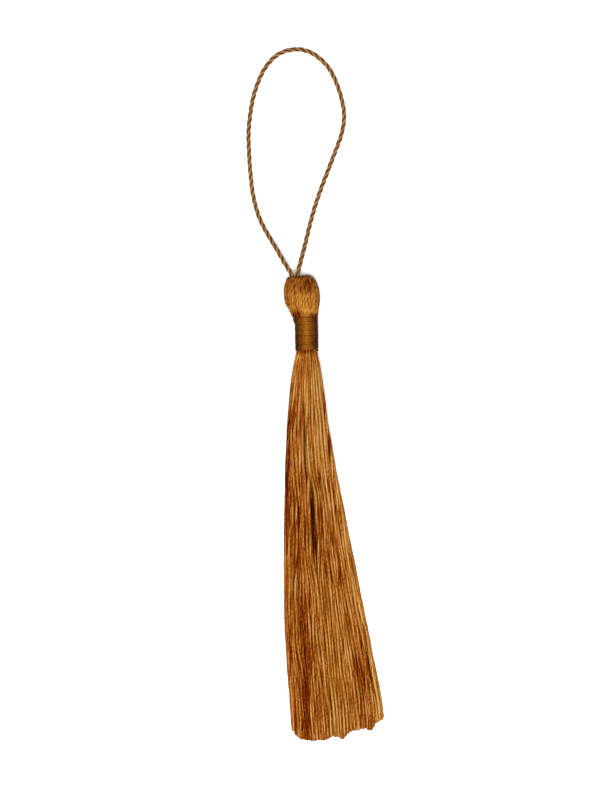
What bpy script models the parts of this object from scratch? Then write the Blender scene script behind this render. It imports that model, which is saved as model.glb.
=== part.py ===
"""Silk tassel lying on its back on a flat surface, its hanging loop laid out beyond its head.

World frame: metres, +Z up. The tassel lies along Y with its head towards +Y, and the surface that
it lies on is Z = 0. The origin is on that surface, under the middle of the tassel without its loop.

Three sub-parts, each an object of its own:
  floss         the hank of yarns: folded over as the head, squeezed as the neck, loose as the skirt
  neck_binding  the thread wound round the neck
  hanging_loop  the twisted cord that the tassel hangs from, its two ends going into the head
"""

import math

import bmesh
import bpy
import numpy as np

MM = 0.001

# ---------------------------------------------------------------- driving dimensions, in millimetres
CLEARANCE = 0.3                 # gap kept between two pieces that touch on the real tassel
SHARP_ANGLE = 55                # degrees past which an edge isn't shaded smooth

# Head: sections across Y from its crown to the binding, as the yarns fold over the cord.
HEAD_COLUMNS = ("y", "centre_x", "half_width", "centre_z", "half_height", "rib")
HEAD_SECTIONS = (
    (45.04, -5.35, 0.70, 3.05, 0.50, 0.00),
    (44.82, -5.75, 1.75, 3.00, 1.45, 0.05),
    (44.40, -6.25, 2.60, 2.95, 2.35, 0.11),
    (43.60, -6.28, 3.00, 2.88, 2.82, 0.14),
    (42.40, -6.20, 3.32, 2.84, 3.10, 0.14),
    (40.80, -6.08, 3.42, 2.84, 3.16, 0.14),
    (39.50, -5.98, 3.26, 2.84, 3.08, 0.13),
    (38.40, -5.76, 2.86, 2.83, 2.75, 0.11),
    (37.40, -5.56, 2.55, 2.78, 2.45, 0.08),
)
CROWN = (-5.20, 45.10, 3.05)    # tip of the crown

# Neck: straight through the binding, and a little lower at the skirt than at the head.
NECK_HEAD_END = dict(y=36.55, centre_x=-5.24, centre_z=2.76)
NECK_SKIRT_END = dict(y=30.15, centre_x=-5.16, centre_z=2.55)
NECK_RADIUS = 1.45
SHOULDER_RADIUS = 2.24          # of the floss on both sides of the binding

# Binding: a sleeve of wound thread round the neck.
BINDING_TURNS = 14
BINDING_RADIUS = 2.17           # over the crown of each turn
BINDING_GROOVE = 0.10           # depth between two turns
BINDING_SIDES = 28

# Skirt: yarns from a round bundle at the neck that spread into a flat fan of layers.
ROOT_Y = 29.75                  # plane where the yarns part
ROOT_RADIUS = 2.22
ROOT_WEB = 0.08                 # floss left between two yarns at their roots
ROOT_GROOVE = 0.20              # depth of the groove between two roots
GRID = 11                       # yarns across and up the bundle at the neck
ROWS_PER_LAYER = 3              # rows of the bundle that lie side by side in one layer of the fan
LAYER_PITCH = 0.54
LAYER_SPREADS = (1.0, 0.97, 0.90, 0.70)   # width of each layer of the fan, lowest first
YARN_BULK = 0.50                # across a yarn once it is free of the neck
YARN_FILL = 0.82                # share of the room between its neighbours that a yarn takes
YARN_TOP = 0.55                 # width of a yarn's upper face to its lower one
EDGE_INSET = 0.20               # from the skirt's outline in to the middle of its outermost yarns
STATIONS = (0.0, 0.04, 0.12, 0.25, 0.42, 0.60, 0.80, 1.0)   # along a yarn, as a share of its length

SKIRT_COLUMNS = ("y", "left_x", "right_x", "height")
SKIRT_SECTIONS = (
    (29.75, -7.38, -2.94, 4.44),
    (24.00, -8.30, -2.05, 4.10),
    (16.00, -8.95, -1.05, 3.70),
    (7.00, -9.35, 0.55, 3.30),
    (-4.30, -9.55, 2.80, 2.85),
    (-16.00, -9.60, 5.15, 2.50),
    (-27.50, -9.35, 7.45, 2.30),
    (-36.00, -8.60, 9.15, 2.20),
    (-40.00, -8.30, 9.80, 2.18),
    (-45.00, -7.90, 9.90, 2.16),
)
SPREAD_SHARE = 0.30             # share of the length by which the yarns are in the fan's order
SETTLED_SHARES = (0.20, 0.90)   # shares of the length between which the rows sink into layers
FREE_SHARES = (0.05, 0.35)      # shares of the length over which the neck's grip on them fades
FLOOR_SHARE = 0.11              # share of the length by which the lowest yarns touch the surface

# Cut ends of the skirt, from its left edge to its right edge.
HEM_COLUMNS = ("x", "y")
HEM = (
    (-8.00, -43.30),
    (-6.20, -44.85),
    (-4.00, -45.10),
    (-1.90, -44.95),
    (-0.50, -44.35),
    (1.05, -44.25),
    (2.30, -44.85),
    (3.10, -43.60),
    (5.50, -42.75),
    (7.10, -43.10),
    (7.90, -41.90),
    (9.75, -41.10),
)
HEM_RAGGED = 0.9                # most that a yarn falls short of that line
GOLDEN_STEP = 0.618034          # spreads the yarns' lengths evenly, with no pattern

# Slow waves that neighbouring yarns share: height, radians per mm along and across, and phase.
SWAYS = (
    (0.16, 0.21, 0.55, 0.0),
    (0.10, 0.47, -0.90, 1.3),
)

# Partings between locks of yarns: start y, end y, x at the start, x at the end, how far they
# open, and how far to each side they push.
PARTING_FADE_IN = (0.0, 0.3)    # shares of a parting's length over which it opens
PARTING_FADE_OUT = (0.85, 1.15)
PARTING_AT_FLOOR = 0.35         # opening of the lowest layer, as a share of the top one's
PARTINGS = (
    (19.0, 4.0, -5.55, -5.20, 0.45, 0.60),
    (6.0, -12.0, -4.25, -3.45, 0.75, 0.85),
    (-14.0, -46.0, -6.45, -5.35, 0.80, 0.75),
    (-22.0, -46.0, 2.30, 4.30, 0.55, 0.70),
)

# Loop: the way of the cord's middle line (x, y, z), from the left side of the crown round to its
# right side: down from the head to the surface, along it, and up to the head again.
CORD_DIAMETER = 0.90
CORD_PLIES = 3
CORD_PITCH = 4.5                # length of one full turn of the twist, right-handed
CORD_GROOVE = 0.10              # depth between two plies
CORD_STEPS_PER_TURN = 9
CURVE_STEPS = 16                # points of the smooth curve between two points of the route
LOOP_ROUTE = (
    (-8.22, 45.20, 3.05),
    (-9.42, 47.16, 2.80),
    (-10.60, 49.24, 2.20),
    (-11.70, 51.10, 1.55),
    (-13.42, 54.05, 0.85),
    (-14.72, 57.08, 0.52),
    (-15.58, 60.59, 0.47),
    (-16.02, 64.28, 0.47),
    (-16.30, 68.13, 0.47),
    (-16.40, 73.05, 0.47),
    (-15.74, 78.22, 0.47),
    (-14.69, 81.91, 0.47),
    (-13.36, 84.75, 0.47),
    (-11.59, 86.92, 0.47),
    (-9.94, 87.98, 0.47),
    (-8.00, 88.52, 0.47),
    (-5.99, 88.48, 0.47),
    (-3.61, 87.53, 0.47),
    (-1.10, 85.22, 0.47),
    (0.60, 82.00, 0.47),
    (1.70, 78.40, 0.47),
    (2.05, 75.50, 0.47),
    (1.55, 72.20, 0.47),
    (0.10, 68.20, 0.47),
    (-1.10, 65.04, 0.47),
    (-2.35, 61.80, 0.47),
    (-3.60, 58.10, 0.48),
    (-4.62, 54.47, 0.72),
    (-5.30, 51.60, 1.35),
    (-5.95, 49.00, 2.15),
    (-6.50, 46.90, 2.80),
    (-6.86, 45.46, 3.02),
)

COLOURS = {                     # colour, roughness
    "floss": ((0.36, 0.145, 0.028), 0.45),
    "neck_binding": ((0.20, 0.065, 0.012), 0.45),
    "hanging_loop": ((0.30, 0.155, 0.055), 0.50),
}


# ---------------------------------------------------------------- helpers
def column(rows, names, name):
    """One named column of a table, as an array."""
    return np.array([row[names.index(name)] for row in rows])


def table_at(rows, names, name, y):
    """A column's value at y, from a table whose first column is y and falls."""
    ys = column(rows, names, "y")
    return np.interp(-np.asarray(y), -ys, column(rows, names, name))


def smoothstep(low, high, value):
    share = np.clip((value - low) / (high - low), 0.0, 1.0)
    return share * share * (3.0 - 2.0 * share)


def add_ring(bm, points):
    return [bm.verts.new([c * MM for c in point]) for point in points]


def bridge(bm, ring_a, ring_b):
    """Quads between two rings with the same number of points."""
    for i in range(len(ring_a)):
        bm.faces.new((ring_a[i - 1], ring_a[i], ring_b[i], ring_b[i - 1]))


def finish_object(name, bm):
    """Turn a closed bmesh into a named object with its own material."""
    bmesh.ops.recalc_face_normals(bm, faces=bm.faces)
    mesh = bpy.data.meshes.new(name)
    bm.to_mesh(mesh)
    bm.free()
    mesh.shade_smooth()
    mesh.set_sharp_from_angle(angle=math.radians(SHARP_ANGLE))
    colour, roughness = COLOURS[name]
    material = bpy.data.materials.new(name)
    material.use_nodes = True
    shader = material.node_tree.nodes["Principled BSDF"]
    shader.inputs["Base Color"].default_value = (*colour, 1.0)
    shader.inputs["Roughness"].default_value = roughness
    shader.inputs["Metallic"].default_value = 0.0
    mesh.materials.append(material)
    shape = bpy.data.objects.new(name, mesh)
    bpy.context.scene.collection.objects.link(shape)
    return shape


# ---------------------------------------------------------------- the bundle where the yarns part
def disc_point(u, v):
    """Map a point of the square -1..1 onto the unit disc, so that a square grid fills it."""
    return u * math.sqrt(1.0 - v * v / 2.0), v * math.sqrt(1.0 - u * u / 2.0)


def grid_line(index):
    return 2.0 * index / GRID - 1.0


def rim_indices():
    """Grid corners round the edge of the square, in order."""
    last = GRID
    bottom = [(i, 0) for i in range(last)]
    right = [(last, i) for i in range(last)]
    top = [(last - i, last) for i in range(last)]
    left = [(0, last - i) for i in range(last)]
    return bottom + right + top + left


RIM = [disc_point(grid_line(i), grid_line(j)) for i, j in rim_indices()]


def rim_section(y, centre_x, half_width, centre_z, half_height, rib=0.0):
    """A ring of the head or neck in line with the bundle's rim, every second point raised."""
    points = []
    for index, (across, up) in enumerate(RIM):
        raised = rib if index % 2 else -rib
        x = centre_x + (half_width + raised) * across
        z = centre_z + (half_height + raised) * up
        points.append((x, y, max(z, 0.0)))      # the head's underside lies flat on the surface
    return points


def round_section(y, centre_x, centre_z, radius):
    return rim_section(y, centre_x, radius, centre_z, radius)


# ---------------------------------------------------------------- skirt
def yarn_table():
    """Row, column, layer and place in the fan of every yarn."""
    yarns = []
    for row in range(GRID):
        layer = row // ROWS_PER_LAYER
        rows_here = min(ROWS_PER_LAYER, GRID - layer * ROWS_PER_LAYER)
        in_layer = row - layer * ROWS_PER_LAYER
        upper_half = row > GRID // 2
        for col in range(GRID):
            left_half = col < GRID // 2
            outward = in_layer if left_half == upper_half else rows_here - 1 - in_layer
            order = col * rows_here + outward
            place = order / (GRID * rows_here - 1) * 2.0 - 1.0
            yarns.append(dict(row=row, col=col, layer=layer, place=place))
    return yarns


def hem_y(x, index):
    """Where a yarn that ends at x is cut: on the hem's line or a little short of it."""
    line = np.interp(x, column(HEM, HEM_COLUMNS, "x"), column(HEM, HEM_COLUMNS, "y"))
    return line + HEM_RAGGED * (index * GOLDEN_STEP % 1.0) ** 2


def parting_shift(x, y, depth):
    """How far the partings push a yarn aside; depth is 0 for the lowest layer, 1 for the top."""
    shift = 0.0
    for start_y, end_y, start_x, end_x, opening, reach in PARTINGS:
        along = (start_y - y) / (start_y - end_y)
        fade = smoothstep(*PARTING_FADE_IN, along) * (1.0 - smoothstep(*PARTING_FADE_OUT, along))
        from_line = (x - (start_x + (end_x - start_x) * along)) / reach
        shift += opening * fade * from_line * math.exp(-0.5 * from_line * from_line)
    return shift * (PARTING_AT_FLOOR + (1.0 - PARTING_AT_FLOOR) * depth)


def sway(x, y):
    return sum(high * math.sin(along * y + across * x + phase) for high, along, across, phase in SWAYS)


def yarn_centre(yarn, index, share):
    """Middle of a yarn's lower face at a share of its length: x, y, z."""
    u = grid_line(yarn["col"] + 0.5)
    v = grid_line(yarn["row"] + 0.5)
    across, up = disc_point(u, v)
    spread = yarn["place"] * LAYER_SPREADS[yarn["layer"]]
    left_end, right_end = SKIRT_SECTIONS[-1][1:3]
    end_x = (left_end + right_end) / 2.0 + spread * (right_end - left_end) / 2.0
    y = ROOT_Y + share * (hem_y(end_x, index) - ROOT_Y)

    left = table_at(SKIRT_SECTIONS, SKIRT_COLUMNS, "left_x", y)
    right = table_at(SKIRT_SECTIONS, SKIRT_COLUMNS, "right_x", y)
    height = table_at(SKIRT_SECTIONS, SKIRT_COLUMNS, "height", y)
    fanned = smoothstep(0.0, SPREAD_SHARE, share)
    settled = smoothstep(*SETTLED_SHARES, share)
    half_width = (right - left) / 2.0 - EDGE_INSET
    x = (left + right) / 2.0 + ((1.0 - fanned) * across + fanned * spread) * half_width

    root_z = NECK_SKIRT_END["centre_z"] + ROOT_RADIUS * up
    lowest = grid_line(0.5)
    bundle_z = (up - disc_point(0.0, lowest)[1]) / 2.0 * height
    loose_z = (1.0 - settled) * max(bundle_z, 0.0) + settled * yarn["layer"] * LAYER_PITCH
    landed = smoothstep(0.0, FLOOR_SHARE, share)
    z = (1.0 - landed) * root_z + landed * loose_z

    depth = yarn["layer"] / (len(LAYER_SPREADS) - 1)
    free = smoothstep(*FREE_SHARES, share)
    x += free * (sway(x, y) + parting_shift(x, y, depth))
    return x, y, z


def skirt_sections():
    """Per yarn and station: middle of the lower face, and the yarn's width and height there."""
    yarns = yarn_table()
    centres = np.array([
        [yarn_centre(yarn, index, share) for share in STATIONS]
        for index, yarn in enumerate(yarns)
    ])
    sizes = np.full(centres.shape[:2], YARN_BULK)
    for station in range(1, len(STATIONS)):
        flat = centres[:, station][:, (0, 2)]
        apart = np.abs(flat[:, None] - flat[None]).max(axis=2)
        np.fill_diagonal(apart, np.inf)
        sizes[:, station] = np.minimum(YARN_BULK, YARN_FILL * apart.min(axis=1))
    return yarns, centres, sizes


def yarn_section(x, y, z, size):
    """Four corners of a yarn that lies on its lower face, in the order of a grid cell's corners."""
    low = size / 2.0
    high = low * YARN_TOP
    return [(x - low, y, z), (x + low, y, z), (x + high, y, z + size), (x - high, y, z + size)]


def cell_corners(row, col):
    return ((col, row), (col + 1, row), (col + 1, row + 1), (col, row + 1))


def add_skirt(bm, rim_ring):
    """The web at the neck's end and the yarns that leave it. The web's edge is the rim ring."""
    corners = dict(zip(rim_indices(), rim_ring))
    for i in range(1, GRID):
        for j in range(1, GRID):
            across, up = disc_point(grid_line(i), grid_line(j))
            point = (
                NECK_SKIRT_END["centre_x"] + ROOT_RADIUS * across,
                ROOT_Y + ROOT_GROOVE,
                NECK_SKIRT_END["centre_z"] + ROOT_RADIUS * up,
            )
            corners[i, j] = add_ring(bm, [point])[0]

    yarns, centres, sizes = skirt_sections()
    for yarn, path, size in zip(yarns, centres, sizes):
        cell = [corners[key] for key in cell_corners(yarn["row"], yarn["col"])]
        places = np.array([corner.co for corner in cell]) / MM
        middle = places.mean(axis=0)
        inset = 1.0 - ROOT_WEB / np.linalg.norm(places[1] - places[0])
        root = middle + (places - middle) * inset
        root[:, 1] = ROOT_Y
        rings = [add_ring(bm, root)]
        for place, width in zip(path[1:], size[1:]):
            rings.append(add_ring(bm, yarn_section(*place, width)))
        bridge(bm, cell, rings[0])
        for ring_a, ring_b in zip(rings, rings[1:]):
            bridge(bm, ring_a, ring_b)
        bm.faces.new(rings[-1])


def make_floss():
    bm = bmesh.new()
    rings = [add_ring(bm, rim_section(**dict(zip(HEAD_COLUMNS, row)))) for row in HEAD_SECTIONS]
    rim_place = dict(NECK_SKIRT_END, y=ROOT_Y + ROOT_GROOVE)
    for place, radius in (
        (NECK_HEAD_END, SHOULDER_RADIUS),
        (NECK_HEAD_END, NECK_RADIUS),
        (NECK_SKIRT_END, NECK_RADIUS),
        (NECK_SKIRT_END, SHOULDER_RADIUS),
        (rim_place, ROOT_RADIUS),
    ):
        rings.append(add_ring(bm, round_section(**place, radius=radius)))
    for ring_a, ring_b in zip(rings, rings[1:]):
        bridge(bm, ring_a, ring_b)
    crown = add_ring(bm, [CROWN])[0]
    first = rings[0]
    for i in range(len(first)):
        bm.faces.new((first[i - 1], first[i], crown))
    add_skirt(bm, rings[-1])
    return finish_object("floss", bm)


# ---------------------------------------------------------------- binding
def make_binding():
    start = NECK_HEAD_END["y"] - CLEARANCE
    end = NECK_SKIRT_END["y"] + CLEARANCE
    bore = NECK_RADIUS + CLEARANCE
    valley = BINDING_RADIUS - BINDING_GROOVE

    def section(y, radius):
        along = (NECK_HEAD_END["y"] - y) / (NECK_HEAD_END["y"] - NECK_SKIRT_END["y"])
        x_mid = NECK_HEAD_END["centre_x"] * (1.0 - along) + NECK_SKIRT_END["centre_x"] * along
        z_mid = NECK_HEAD_END["centre_z"] * (1.0 - along) + NECK_SKIRT_END["centre_z"] * along
        angles = [2.0 * math.pi * i / BINDING_SIDES for i in range(BINDING_SIDES)]
        return [(x_mid + radius * math.cos(a), y, z_mid + radius * math.sin(a)) for a in angles]

    bm = bmesh.new()
    rings = [add_ring(bm, section(end, bore)), add_ring(bm, section(start, bore))]
    steps = 2 * BINDING_TURNS
    for step in range(steps + 1):
        y = start + (end - start) * step / steps
        rings.append(add_ring(bm, section(y, BINDING_RADIUS if step % 2 else valley)))
    for ring_a, ring_b in zip(rings, rings[1:] + rings[:1]):
        bridge(bm, ring_a, ring_b)
    return finish_object("neck_binding", bm)


# ---------------------------------------------------------------- hanging loop
def smooth_route(points, step):
    """Points a step apart along a Catmull-Rom curve through the given points."""
    points = np.array(points)
    before = 2.0 * points[0] - points[1]
    after = 2.0 * points[-1] - points[-2]
    held = np.vstack([before, points, after])
    fine = []
    for i in range(1, len(held) - 2):
        a, b, c, d = held[i - 1:i + 3]
        for t in np.linspace(0.0, 1.0, CURVE_STEPS, endpoint=False):
            fine.append(0.5 * (
                2.0 * b + (c - a) * t + (2.0 * a - 5.0 * b + 4.0 * c - d) * t ** 2
                + (3.0 * b - a - 3.0 * c + d) * t ** 3
            ))
    fine = np.array(fine + [points[-1]])
    lengths = np.concatenate([[0.0], np.cumsum(np.linalg.norm(np.diff(fine, axis=0), axis=1))])
    count = round(lengths[-1] / step)
    stations = np.linspace(0.0, lengths[-1], count + 1)
    return np.column_stack([np.interp(stations, lengths, fine[:, axis]) for axis in range(3)])


def ply_outline():
    """Angle and radius round the cord: per ply a groove and the two sides of its crown."""
    crown = CORD_DIAMETER / 2.0
    outline = []
    for ply in range(CORD_PLIES):
        base = 2.0 * math.pi * ply / CORD_PLIES
        third = 2.0 * math.pi / CORD_PLIES / 3.0
        outline.append((base, crown - CORD_GROOVE))
        outline.append((base + third, crown))
        outline.append((base + 2.0 * third, crown))
    return outline


def make_loop():
    route = smooth_route(LOOP_ROUTE, CORD_PITCH / CORD_STEPS_PER_TURN)
    along = np.gradient(route, axis=0)
    along /= np.linalg.norm(along, axis=1)[:, None]
    side = np.cross(along, (0.0, 0.0, 1.0))
    side /= np.linalg.norm(side, axis=1)[:, None]
    over = np.cross(side, along)

    bm = bmesh.new()
    rings = []
    for step, (centre, right, up) in enumerate(zip(route, side, over)):
        turn = -2.0 * math.pi * step / CORD_STEPS_PER_TURN     # right-handed along the cord
        points = []
        for angle, radius in ply_outline():
            spoke = math.cos(angle + turn) * right + math.sin(angle + turn) * up
            points.append(centre + radius * spoke)
        rings.append(add_ring(bm, points))
    for ring_a, ring_b in zip(rings, rings[1:]):
        bridge(bm, ring_a, ring_b)
    bm.faces.new(rings[0])
    bm.faces.new(rings[-1])
    return finish_object("hanging_loop", bm)


# ---------------------------------------------------------------- model
for old in list(bpy.data.objects):
    bpy.data.objects.remove(old)

make_floss()
make_binding()
make_loop()
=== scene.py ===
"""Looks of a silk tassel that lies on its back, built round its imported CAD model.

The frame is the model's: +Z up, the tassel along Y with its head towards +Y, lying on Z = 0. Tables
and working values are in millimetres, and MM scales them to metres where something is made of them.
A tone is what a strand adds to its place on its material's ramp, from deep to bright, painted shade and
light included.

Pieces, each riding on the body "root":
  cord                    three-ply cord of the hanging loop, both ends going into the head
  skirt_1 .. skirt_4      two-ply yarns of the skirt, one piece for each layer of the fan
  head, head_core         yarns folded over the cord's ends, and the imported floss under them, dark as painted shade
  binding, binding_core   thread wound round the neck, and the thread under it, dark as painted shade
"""

import math

import bpy
import numpy as np
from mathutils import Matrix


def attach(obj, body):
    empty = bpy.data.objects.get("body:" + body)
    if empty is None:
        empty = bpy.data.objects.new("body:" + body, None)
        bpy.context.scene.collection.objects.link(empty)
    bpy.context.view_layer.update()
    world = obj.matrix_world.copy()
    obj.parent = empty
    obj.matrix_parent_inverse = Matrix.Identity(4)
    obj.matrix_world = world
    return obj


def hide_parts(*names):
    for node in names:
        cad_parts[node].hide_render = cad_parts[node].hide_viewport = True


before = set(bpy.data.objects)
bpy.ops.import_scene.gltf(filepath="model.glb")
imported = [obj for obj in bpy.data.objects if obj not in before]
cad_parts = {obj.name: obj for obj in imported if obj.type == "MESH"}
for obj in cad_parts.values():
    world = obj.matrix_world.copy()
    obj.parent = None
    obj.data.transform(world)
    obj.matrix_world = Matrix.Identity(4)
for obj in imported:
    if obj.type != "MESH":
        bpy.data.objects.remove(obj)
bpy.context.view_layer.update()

MM = 0.001
RNG = np.random.default_rng(7)

# ---------------------------------------------------------------- the photograph's framing
PHOTO_SIZE = (600, 792)         # pixels, across and down
PHOTO_PIXEL = 0.1931            # mm on the surface for one pixel
PHOTO_ORIGIN = (333.5, 507.8)   # pixel where the frame's origin falls
CAMERA_HEIGHT = 1200.0          # mm, so nearly no perspective
CAMERA_AIM_Z = 2.0              # mm, height of the middle of the tassel
SENSOR = 36.0                   # mm, along the picture's long side

# ---------------------------------------------------------------- the studio
FLOOR_HALF = 3000.0             # mm, half of the floor's side
FLOOR_COLOUR = (0.92, 0.92, 0.92)
FLOOR_ROUGHNESS = 0.8
SKY_STRENGTH = 0.20             # of the even white light from all round
KEY_PLACE = (-40.0, -100.0, 750.0)
KEY_AIM = (-4.0, 20.0, 0.0)
KEY_SIZE = 400.0                # mm across the lamp's disc
KEY_WATTS = 10.5

# ---------------------------------------------------------------- the head
HEAD_COLUMNS = ("y", "centre_x", "half_width", "centre_z", "half_height")
HEAD_SECTIONS = (               # as in part.py, with the neck's end as the last
    (45.04, -5.35, 0.70, 3.05, 0.50),
    (44.82, -5.75, 1.75, 3.00, 1.45),
    (44.40, -6.25, 2.60, 2.95, 2.35),
    (43.60, -6.28, 3.00, 2.88, 2.82),
    (42.40, -6.20, 3.32, 2.84, 3.10),
    (40.80, -6.08, 3.42, 2.84, 3.16),
    (39.50, -5.98, 3.26, 2.84, 3.08),
    (38.40, -5.76, 2.86, 2.83, 2.75),
    (37.40, -5.56, 2.55, 2.78, 2.45),
    (36.55, -5.24, 2.24, 2.76, 2.24),
)
HEAD_FOOT_Y = 35.75             # where the yarns start and end, inside the binding
HEAD_WIDEST_Y = 41.0
HEAD_TOP_Y = 45.02
HEAD_LEG_POINTS = 14            # of each yarn's line from the foot to the widest place
HEAD_CROWN_POINTS = 22          # from there to the top
HEAD_LEAST_HALF_HEIGHT = 0.05   # of the fold at the very top
HEAD_FINE_STEP = 0.05           # mm between the points that the rings are then read from
HEAD_NOTCH = (-6.80, 1.25, 0.26, 43.8)  # the dip in its top: x, half width, depth, and y at its foot
HEAD_YARNS = 31                 # each shows twice round the head, as it folds over
HEAD_YARN_RADIUS = 0.23
HEAD_YARN_THIN = 0.85           # of that radius, at both ends of a yarn
HEAD_YARN_ENDS = (0.12, 0.88)   # shares of its length between which a yarn is thick and free
HEAD_YARN_PITCHES = (2.4, 3.6)  # mm for one turn of the two plies
HEAD_WAVE = (0.08, 5.0, 6.3)    # of each yarn: mm high, mm long, and its greatest phase in radians
HEAD_PROUD = ((42.0, 0.11), (43.6, 0.02))   # y, and mm by which the yarns are wider than the CAD head
HEAD_LEAN = ((36.0, -0.04), (43.6, -0.04), (44.8, -0.22))   # y, and mm by which they are shifted in x
HEAD_SPREAD = (0.13, -0.04)     # share by which they are spread at the binding, left and right
HEAD_SPREAD_YS = (36.40, 37.60)  # over which that fades
HEAD_TUCK = 0.30                # share by which they are pulled in under the binding
HEAD_TUCK_YS = (36.25, 36.90)   # over which that fades
HEAD_STEPS = 150                # rings along a yarn
HEAD_TONE = (0.03, 0.10)        # the yarns' middle tone, and how much they differ
HEAD_TOP_SHADE = -0.24           # painted shade, added in the upper half
HEAD_TOP_SHADE_YS = (40.3, 43.0)      # over which it comes in
HEAD_LIGHT_AND_SHADE_PATCHES = (                # painted shade and painted light: x, y, half width, half height, and the tone added
    (-7.10, 37.40, 1.15, 0.75, -0.55),
    (-6.25, 36.75, 1.40, 0.35, -0.28),
    (-3.75, 37.15, 1.10, 0.55, -0.55),
    (-4.40, 37.95, 1.30, 0.55, 0.18),
    (-5.50, 42.60, 1.60, 2.20, -0.18),
    (-9.00, 39.60, 0.70, 1.60, -0.25),
    (-3.05, 39.80, 0.50, 1.40, -0.20),
    (-3.50, 42.40, 0.60, 1.20, 0.14),
    (-7.70, 42.20, 0.70, 1.20, 0.10),
)

# ---------------------------------------------------------------- the neck, as in part.py
NECK_HEAD_END = (-5.24, 36.55, 2.76)
NECK_SKIRT_END = (-5.16, 30.15, 2.55)
CLEARANCE = 0.3

# ---------------------------------------------------------------- the binding, on the CAD binding
BINDING_START = NECK_HEAD_END[1] - CLEARANCE
BINDING_END = NECK_SKIRT_END[1] + CLEARANCE
BINDING_RADIUS = 2.17
BINDING_TURNS = 18              # finer than in part.py
BINDING_PROUD = 0.11            # mm by which the thread stands out of the CAD binding
BINDING_FLARE = (0.42, 0.22)    # mm wider at the head, and the share of its length where that ends
BINDING_RISE = 0.55             # mm that its first turn is above the CAD binding, on the head's foot
BINDING_DROP = 0.25             # mm that its last turn is below the CAD binding
BINDING_TONE = 0.21
BINDING_SIDE_SHADE = -0.48       # painted shade: its flanks take the light less than its back and front
THREAD_RADIUS = 0.21
THREAD_OUT = BINDING_RADIUS + BINDING_PROUD - THREAD_RADIUS     # from the neck's middle to the thread's
THREAD_STEPS_PER_TURN = 56
THREAD_WAVES = (                # mm along the neck, waves in a turn, and phase
    (0.03, 0.37, 0.0),
    (0.04, 1.0, 1.0),
)
THREAD_UNEVEN = 0.010           # mm by which it lies higher and lower, at random
THREAD_UNEVEN_STEP = 0.5        # turns
THREAD_UNEVEN_TONE = 0.03
THREAD_PITCHES = (1.4, 1.4)     # mm for one turn of its own twist

# ---------------------------------------------------------------- the dark insides, painted shade between the strands
CORE_YS = (44.3, 43.9, 43.2, 42.4, 41.6, 40.8, 40.0, 39.2, 38.4, 37.6, 36.8, 36.0)
CORE_INSET = 0.42               # mm that the head's is inside the CAD head
CORE_SIDES = 40
CORE_LIFT = 0.05                # mm that they stay above the surface
BINDING_CORE_RINGS = 8
BINDING_CORE_SHORT = 0.1        # mm that each end of the binding's is inside the CAD binding's end

# ---------------------------------------------------------------- the skirt, as in part.py
ROOT_Y = 29.75
ROOT_RADIUS = 2.22
GRID = 11                       # rows and columns of yarns in the round bundle at the neck
ROWS_PER_LAYER = 3
LAYER_PITCH = 0.54
LAYER_SPREADS = (1.0, 0.97, 0.90, 0.70)         # shares of the fan's width, from the lowest layer up
EDGE_INSET = 0.20
SKIRT_COLUMNS = ("y", "left_x", "right_x", "height")
SKIRT_SECTIONS = (
    (29.75, -7.38, -2.94, 4.44),
    (24.00, -8.30, -2.05, 4.10),
    (16.00, -8.95, -1.05, 3.70),
    (7.00, -9.35, 0.55, 3.30),
    (-4.30, -9.55, 2.80, 2.85),
    (-16.00, -9.60, 5.15, 2.50),
    (-27.50, -9.35, 7.45, 2.30),
    (-36.00, -8.60, 9.15, 2.20),
    (-40.00, -8.30, 9.80, 2.18),
    (-45.00, -7.90, 9.90, 2.16),
)
SPREAD_SHARE = 0.30             # of a yarn's length, by which it has its place in the fan
SETTLED_SHARES = (0.20, 0.90)   # over which the bundle sinks into its layers
FREE_SHARES = (0.05, 0.35)      # over which a yarn comes to sway and wander
FLOOR_SHARE = 0.11              # by which the lowest yarns are down on the surface
HEM = (                         # x, y
    (-8.00, -43.30),
    (-6.20, -44.85),
    (-4.00, -45.10),
    (-1.90, -44.95),
    (-0.50, -44.35),
    (1.05, -44.25),
    (2.30, -44.85),
    (3.10, -43.60),
    (5.50, -42.75),
    (7.10, -43.10),
    (7.90, -41.90),
    (9.75, -41.10),
)
GOLDEN_STEP = 0.618034
SWAYS = (                       # height, radians a mm along and across, and phase
    (0.16, 0.21, 0.55, 0.0),
    (0.10, 0.47, -0.90, 1.3),
)
PARTING_FADE_IN = (0.0, 0.3)    # shares of a parting's length
PARTING_FADE_OUT = (0.85, 1.15)
PARTING_AT_FLOOR = 0.35         # share of it that is left in the lowest layer
PARTINGS = (                    # y of both ends, x of both ends, how far they open, and their reach
    (19.0, 4.0, -5.55, -5.20, 0.45, 0.60),
    (6.0, -12.0, -4.25, -3.45, 0.75, 0.85),
    (-14.0, -46.0, -6.45, -5.35, 0.80, 0.75),
    (-22.0, -46.0, 2.30, 4.30, 0.55, 0.70),
)

# ---------------------------------------------------------------- the skirt's yarns, finer than there
ROOT_SPREAD = 1.05              # how much wider than there they leave the binding
HEM_RAGGED = 0.6                # most that one falls short of the hem's line
YARN_RADIUS = 0.34              # to the crown of a ply, once the yarn is free of the neck
YARN_ROOT_RADIUS = 0.23
YARN_GRIP_SHARES = (0.0, 0.22)  # shares of the length over which a yarn swells to its free size
YARN_SIZES = (0.82, 1.10)       # least and most size of one, to that
YARN_END_SIZE = 0.7             # of its last ring, to the one before
YARN_PITCHES = (14.0, 30.0)     # mm for one turn of the two plies
YARN_STEPS = 300                # rings along a yarn
TWO_PLY = (1.0, 0.94, 0.78, 0.94, 1.0, 0.94, 0.78, 0.94)    # radius round a two-ply section
ROUND = (1.0,) * 8
UNDER_BINDING = ((31.4, 0.80), (30.4, 0.90))    # y, and the bundle's size there
WANDERS = ((0.10, 55.0), (0.03, 24.0))          # height and wavelength of each yarn's own waves
WANDER_STRETCHES = (0.8, 1.25)  # least and most of that wavelength
WANDER_SHARES = (0.4, 0.6, 1.0, 1.0)            # of those waves, by layer
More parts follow.
